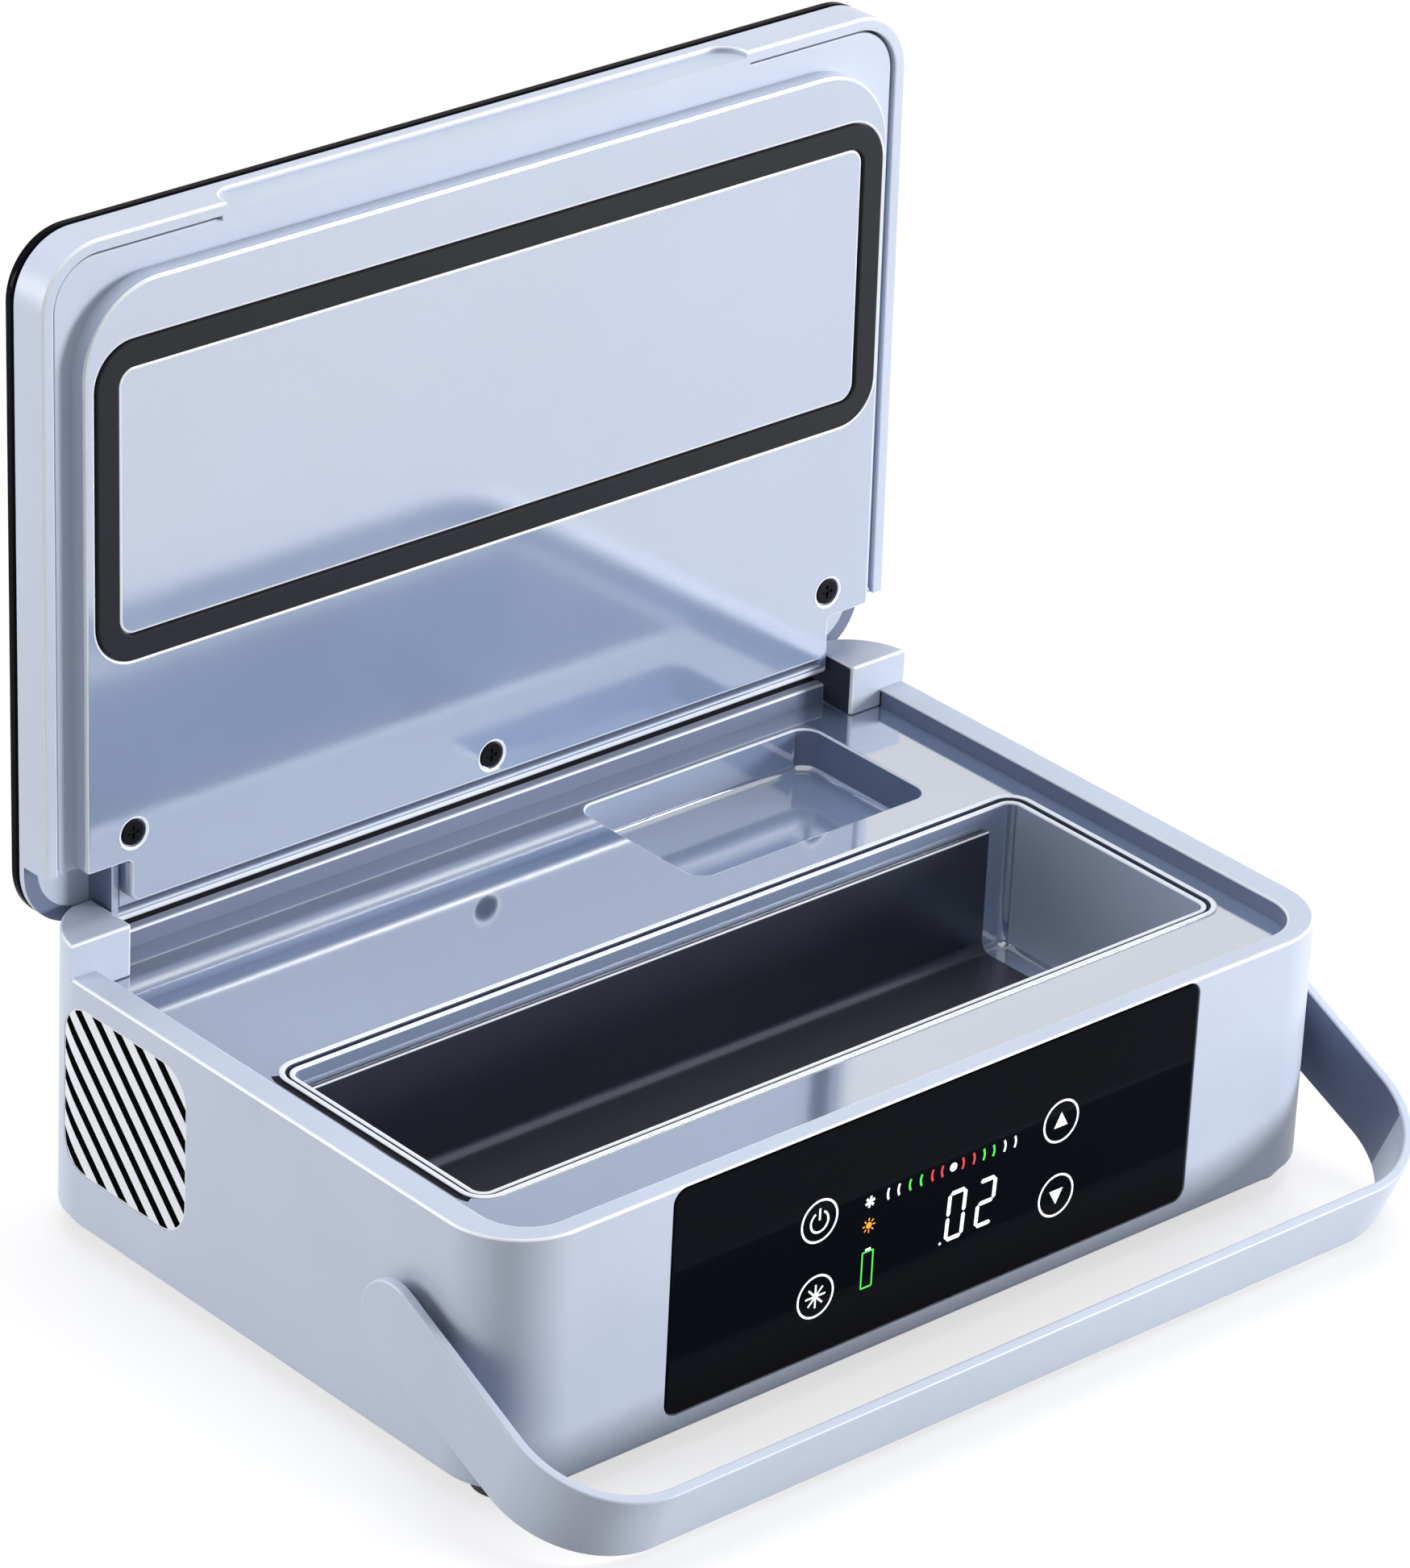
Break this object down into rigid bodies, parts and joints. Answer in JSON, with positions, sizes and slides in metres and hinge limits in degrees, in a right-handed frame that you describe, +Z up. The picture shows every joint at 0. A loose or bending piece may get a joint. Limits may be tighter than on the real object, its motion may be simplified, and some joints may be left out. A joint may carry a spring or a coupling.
{
  "type": "insulin cooling case",
  "caption": "Flat cooling case for injection pens: insulated chamber under a hinged, gasketed lid, storage tray, black touch panel, slotted side vent and a strap handle.",
  "frame": {"origin": "centre of the bounding box's underside, on the surface the feet stand on, lid open and handle lowered", "axes": "+X to the right seen from the touch panel, +Y to the rear hinge, +Z up"},
  "size_m": [0.2406, 0.194, 0.2178],
  "materials": {
    "satin_blue": "satin powder-blue moulded plastic",
    "gloss_blue": "polished powder-blue moulded plastic",
    "pivot_plastic": "satin pale plastic",
    "gloss_black": "gloss black acrylic",
    "seal_rubber": "dark grey silicone rubber",
    "touch_foam": "conductive silicone",
    "insulation": "white closed-cell foam",
    "dark_aluminium": "dark polished anodised aluminium",
    "bare_aluminium": "bare extruded aluminium",
    "ceramic": "white alumina ceramic",
    "steel": "zinc-plated steel",
    "black_steel": "black oxide steel",
    "black_plastic": "black glass-filled plastic",
    "cell_wrap": "blue heat-shrink sleeve over a steel can",
    "circuit_board": "green solder-masked board"
  },
  "bodies": {
    "case": {"base_shell": "satin_blue", "bottom_cover": "satin_blue", "top_deck": "gloss_blue", "chamber_liner": "gloss_blue", "display_lens": "gloss_black", "foot_front_left": "seal_rubber", "foot_front_right": "seal_rubber", "foot_rear_left": "seal_rubber", "foot_rear_right": "seal_rubber", "touch_pad_power": "touch_foam", "touch_pad_cool": "touch_foam", "touch_pad_up": "touch_foam", "touch_pad_down": "touch_foam", "insulation_foam": "insulation", "cold_plate": "dark_aluminium", "cold_block": "bare_aluminium", "heat_sink": "bare_aluminium", "peltier_module": "ceramic", "base_screw_1": "steel", "base_screw_2": "steel", "base_screw_3": "steel", "base_screw_4": "steel", "hinge_pin_left": "steel", "hinge_pin_right": "steel", "fan_frame": "black_plastic", "battery_holder": "black_plastic", "dc_inlet": "black_plastic", "led_display": "black_plastic", "temperature_sensor": "black_plastic", "battery_cell_1": "cell_wrap", "battery_cell_2": "cell_wrap", "battery_cell_3": "cell_wrap", "main_board": "circuit_board", "display_board": "circuit_board"},
    "lid": {"lid_shell": "satin_blue", "lid_liner": "gloss_blue", "lid_gasket": "seal_rubber", "lid_foam": "insulation", "lid_top_plate": "gloss_black", "lid_screw_1": "black_steel", "lid_screw_2": "black_steel", "lid_screw_3": "black_steel"},
    "handle": {"handle": "satin_blue", "handle_pivot_left": "pivot_plastic", "handle_pivot_right": "pivot_plastic", "handle_clip_left": "steel", "handle_clip_right": "steel"},
    "fan": {"fan_rotor": "black_plastic"}
  },
  "joints": [
    {"name": "lid_hinge", "type": "hinge", "parent": "case", "child": "lid", "pos_m": [0, 0.08646, 0.0666], "axis": [1, 0, 0], "range_deg": [0, 91.2]},
    {"name": "handle_swing", "type": "hinge", "parent": "case", "child": "handle", "pos_m": [0, -0.03654, 0.0338], "axis": [-1, 0, 0], "range_deg": [0, 113.5]},
    {"name": "fan_spin", "type": "hinge", "parent": "case", "child": "fan", "pos_m": [-0.1071, 0.05286, 0.0346], "axis": [1, 0, 0], "continuous": true}
  ]
}
